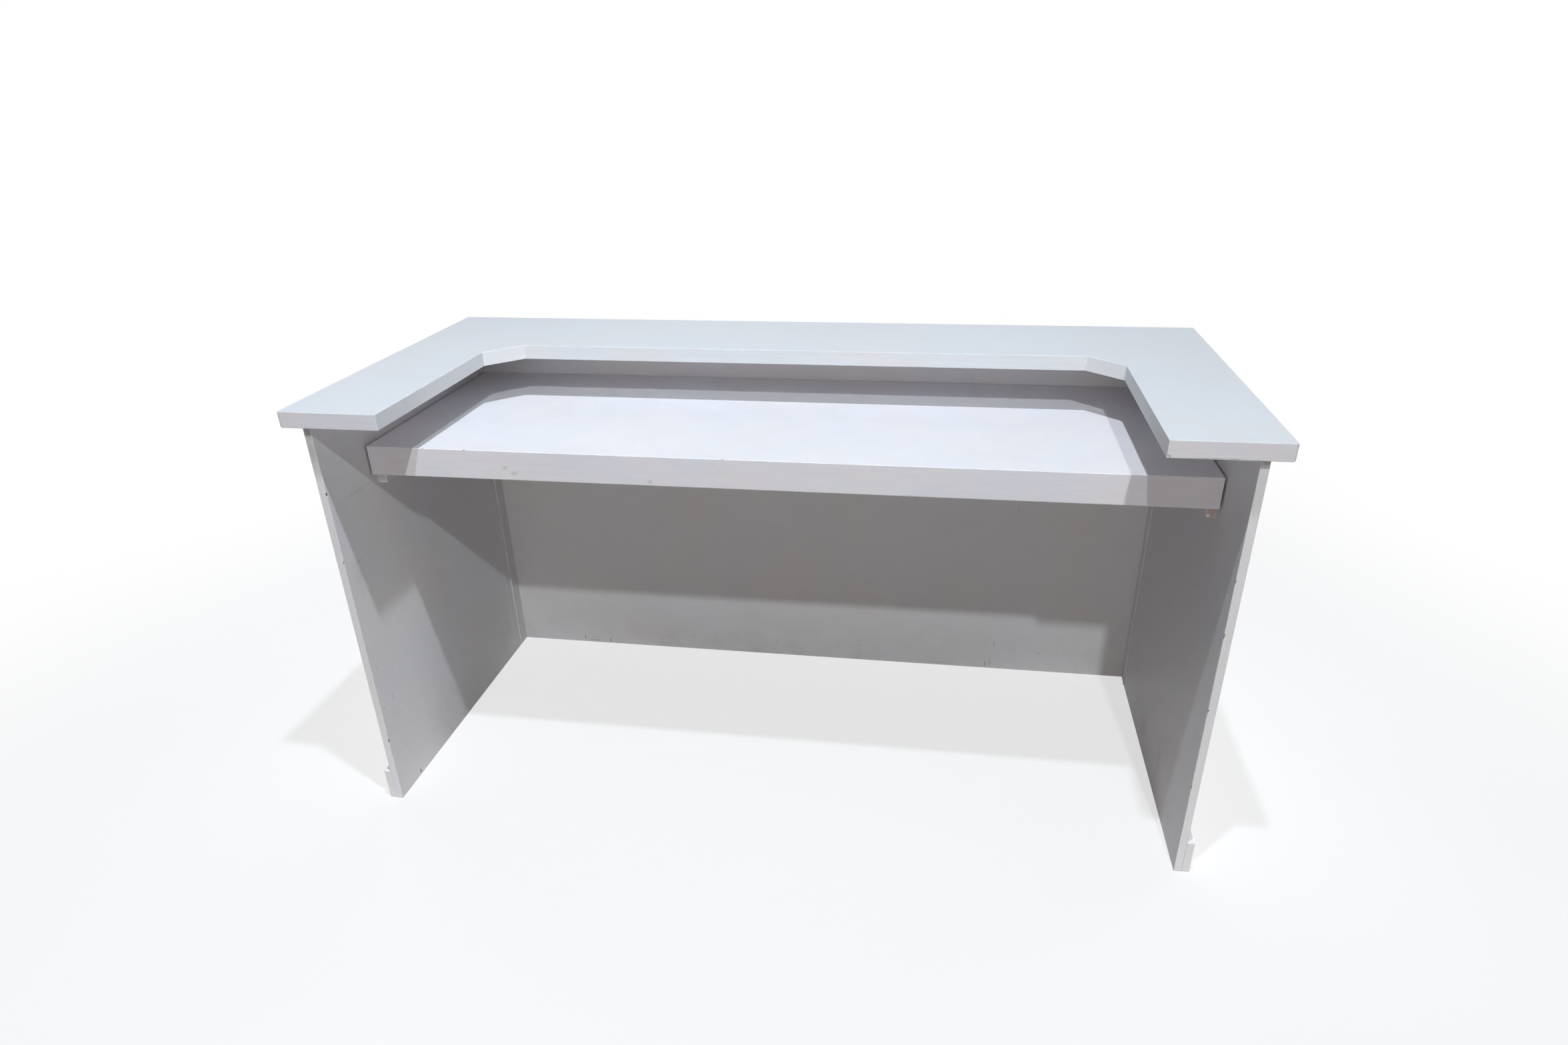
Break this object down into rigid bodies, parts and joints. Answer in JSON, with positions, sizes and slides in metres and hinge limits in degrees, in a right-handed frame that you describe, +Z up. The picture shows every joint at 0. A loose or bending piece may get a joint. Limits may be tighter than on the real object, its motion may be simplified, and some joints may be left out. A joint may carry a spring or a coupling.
{
  "type": "portable bar",
  "caption": "Painted portable bar with hinged side wings, a loose work shelf on cleats and a lift-off U-shaped counter with slanted inner corners.",
  "frame": {"origin": "on the floor, under the middle of the counter", "axes": "+X along the bar, to the right of someone who works behind it; +Y from the open working side to the guests' side; +Z up"},
  "size_m": [2.066, 0.936, 1.07],
  "materials": {
    "counter_paint": "satin white paint with a faint blue cast on board",
    "carcass_paint": "satin white paint on board",
    "shelf_paint": "satin white paint on board",
    "skirting_paint": "satin white paint on board",
    "batten_wood": "planed softwood, unpainted",
    "painted_steel": "steel painted over in satin white",
    "screw_steel": "zinc-plated steel"
  },
  "bodies": {
    "carcass": {"front_panel": "carcass_paint", "return_left": "carcass_paint", "return_right": "carcass_paint", "wing_left": "carcass_paint", "wing_right": "carcass_paint", "corner_screws": "painted_steel", "hinge_leaf_wing_left": "painted_steel", "hinge_leaf_wing_right": "painted_steel", "hinge_leaf_fixed_left": "painted_steel", "hinge_leaf_fixed_right": "painted_steel", "hinge_pin_left": "screw_steel", "hinge_pin_right": "screw_steel", "hinge_screws": "painted_steel", "cleat_left": "carcass_paint", "cleat_right": "carcass_paint", "cleat_front": "carcass_paint", "cleat_screws": "painted_steel", "skirting_front": "skirting_paint", "skirting_return_left": "skirting_paint", "skirting_return_right": "skirting_paint", "skirting_wing_left": "skirting_paint", "skirting_wing_right": "skirting_paint"},
    "counter": {"top_board": "counter_paint", "top_doubler_left": "counter_paint", "top_doubler_right": "counter_paint", "top_doubler_front": "counter_paint", "top_batten_left": "batten_wood", "top_batten_right": "batten_wood", "top_batten_front": "batten_wood", "batten_screws": "screw_steel"},
    "shelf": {"shelf_board": "shelf_paint", "shelf_rail_front": "shelf_paint", "shelf_rail_back": "shelf_paint", "shelf_rail_left": "shelf_paint", "shelf_rail_right": "shelf_paint", "shelf_rib_left": "shelf_paint", "shelf_rib_centre": "shelf_paint", "shelf_rib_right": "shelf_paint"}
  },
  "joints": [
    {"name": "counter_lift", "type": "slide", "parent": "carcass", "child": "counter", "axis": [0, 0, 1], "range_m": [0, 0.3]},
    {"name": "shelf_pull", "type": "slide", "parent": "carcass", "child": "shelf", "axis": [0, -1, 0], "range_m": [0, 0.87]}
  ]
}
